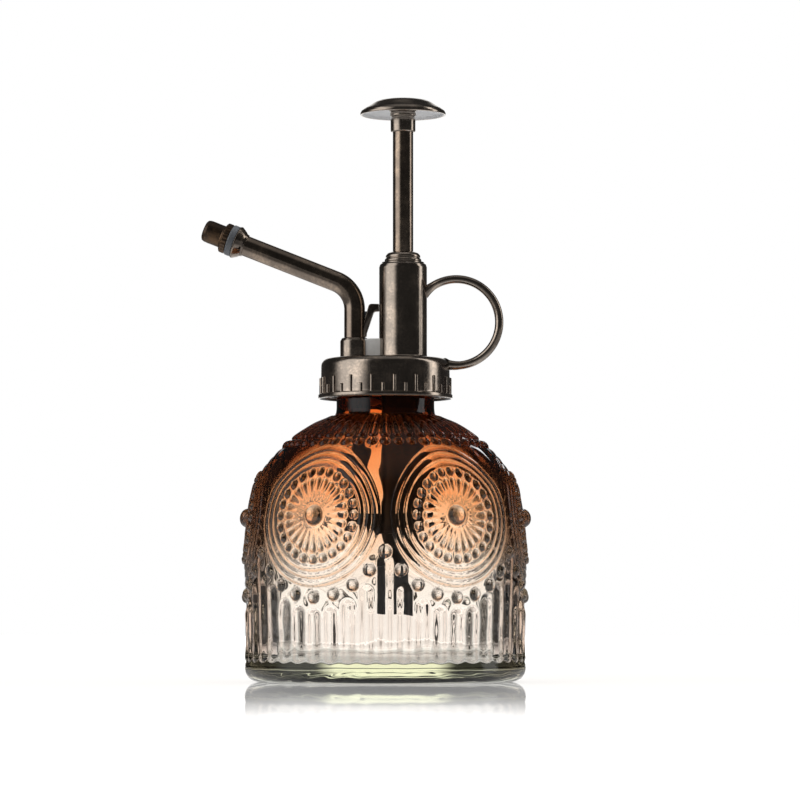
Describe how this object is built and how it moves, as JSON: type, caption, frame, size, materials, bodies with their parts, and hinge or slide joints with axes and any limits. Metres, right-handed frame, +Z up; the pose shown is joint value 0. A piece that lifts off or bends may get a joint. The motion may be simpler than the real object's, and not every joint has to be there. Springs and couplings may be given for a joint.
{
  "type": "hand mister",
  "caption": "Glass plant mister: pressed amber-to-clear bottle with a screw-on bronze-plated pump head, rising spray arm, finger ring and domed thumb button.",
  "frame": {"origin": "centre of the bottle's flat base, on the surface it stands on", "axes": "+Z up along the bottle's axis; the spray arm points to -X and the finger ring to +X"},
  "size_m": [0.0907, 0.079, 0.16],
  "materials": {
    "amber_glass": "amber at the shoulder fading to clear at the base, pressed relief",
    "black_rubber": "matt",
    "bronze_plate": "antique bronze plating, glossy with rubbed edges",
    "bronze_rod": "antique bronze plated metal rod",
    "pale_plastic": "natural",
    "dark_plastic": "satin black",
    "grey_tube": "dark grey flexible tube",
    "grey_washer": "blue-grey plastic",
    "steel": "bright",
    "brass_nut": "plain"
  },
  "bodies": {
    "bottle": {"bottle": "amber_glass"},
    "gasket": {"neck_gasket": "black_rubber"},
    "head": {"collar": "bronze_plate", "thread_liner": "pale_plastic", "pump_barrel": "bronze_plate", "barrel_cap": "bronze_plate", "rod_bush": "pale_plastic", "pump_cylinder": "dark_plastic", "valve_body": "dark_plastic", "inlet_valve_cage": "pale_plastic", "riser_tube": "dark_plastic", "dip_tube": "grey_tube", "return_spring": "steel", "spout_socket": "bronze_plate", "delivery_block": "grey_washer", "spout_tube": "bronze_plate", "spout_brace": "bronze_plate", "finger_ring": "bronze_plate", "nozzle_fitting": "bronze_plate", "nozzle_washer": "grey_washer"},
    "plunger": {"plunger_rod": "bronze_rod", "piston": "pale_plastic", "piston_seal": "black_rubber", "piston_nut": "brass_nut", "button_ferrule": "bronze_plate", "thumb_button": "bronze_plate"},
    "nozzle": {"nozzle_cap": "bronze_plate", "swirl_insert": "pale_plastic"},
    "inlet_ball": {"inlet_ball": "steel"},
    "outlet_ball": {"outlet_ball": "steel"}
  },
  "joints": [
    {"name": "head_rise", "type": "slide", "parent": "bottle", "child": "gasket", "axis": [0, 0, 1], "range_m": [0, 0.004]},
    {"name": "head_turn", "type": "hinge", "parent": "gasket", "child": "head", "pos_m": [0, 0, 0.0874], "axis": [0, 0, 1], "range_deg": [0, 482]},
    {"name": "plunger_press", "type": "slide", "parent": "head", "child": "plunger", "axis": [0, 0, -1], "range_m": [0, 0.03], "stiffness_N_per_m": 250, "springref_m": -0.012, "deforming": ["return_spring"]},
    {"name": "nozzle_turn", "type": "hinge", "parent": "head", "child": "nozzle", "pos_m": [-0.044, 0, 0.1218], "axis": [-0.9285, 0, 0.3714], "range_deg": [0, 360]},
    {"name": "inlet_ball_lift", "type": "slide", "parent": "head", "child": "inlet_ball", "axis": [0, 0, 1], "range_m": [0, 0.0012]},
    {"name": "outlet_ball_lift", "type": "slide", "parent": "head", "child": "outlet_ball", "axis": [0, 0, 1], "range_m": [0, 0.0015]}
  ],
  "couplings": [
    {"joint": "head_turn", "follows": "head_rise", "rad_per_m": 2094.4}
  ]
}
